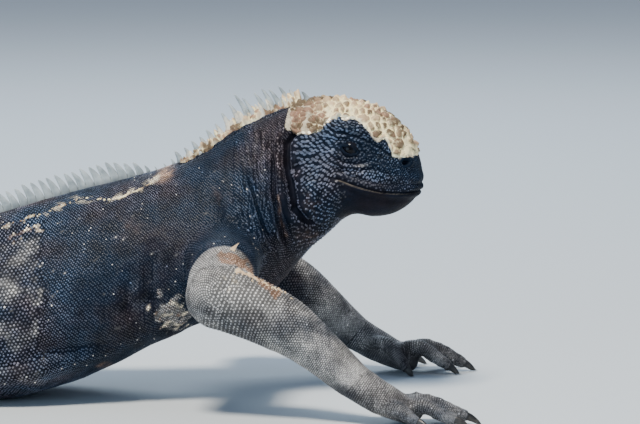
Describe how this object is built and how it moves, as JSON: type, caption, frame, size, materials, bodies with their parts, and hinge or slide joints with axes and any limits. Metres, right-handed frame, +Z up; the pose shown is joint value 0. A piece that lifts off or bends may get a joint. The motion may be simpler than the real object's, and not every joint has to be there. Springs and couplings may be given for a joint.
{
  "type": "marine iguana model",
  "caption": "Life-size still model of a marine iguana lying on its belly with its chest raised on its forelegs, with a spiny crest, a crusted crown and a long flattened tail.",
  "frame": {"origin": "on the floor, under the middle of the whole model's box", "axes": "+X towards the snout, +Y towards the animal's left side, +Z up"},
  "size_m": [1.0032, 0.3706, 0.1987],
  "materials": {
    "hide": "dark scaly skin, matt with a soft sheen",
    "foreleg": "grey-brown scaly skin, matt",
    "crown": "salt-crusted horny scales, matt",
    "claw": "horn, half gloss",
    "eye": "wet, glossy"
  },
  "bodies": {
    "root": {"torso": "hide", "neck": "hide", "tail_base": "hide", "tail_middle": "hide", "tail_end": "hide", "tail_tip": "hide", "head": "crown", "lower_jaw": "hide", "eye_left": "eye", "eye_right": "eye", "upper_arm_right": "foreleg", "forearm_right": "foreleg", "hand_right": "foreleg", "hand_right_claw_1": "claw", "hand_right_claw_2": "claw", "hand_right_claw_3": "claw", "hand_right_claw_4": "claw", "hand_right_claw_5": "claw", "upper_arm_left": "foreleg", "forearm_left": "foreleg", "hand_left": "foreleg", "hand_left_claw_1": "claw", "hand_left_claw_2": "claw", "hand_left_claw_3": "claw", "hand_left_claw_4": "claw", "hand_left_claw_5": "claw", "thigh_right": "hide", "shin_right": "hide", "foot_right": "hide", "foot_right_claw_1": "claw", "foot_right_claw_2": "claw", "foot_right_claw_3": "claw", "foot_right_claw_4": "claw", "foot_right_claw_5": "claw", "thigh_left": "hide", "shin_left": "hide", "foot_left": "hide", "foot_left_claw_1": "claw", "foot_left_claw_2": "claw", "foot_left_claw_3": "claw", "foot_left_claw_4": "claw", "foot_left_claw_5": "claw"}
  },
  "joints": []
}
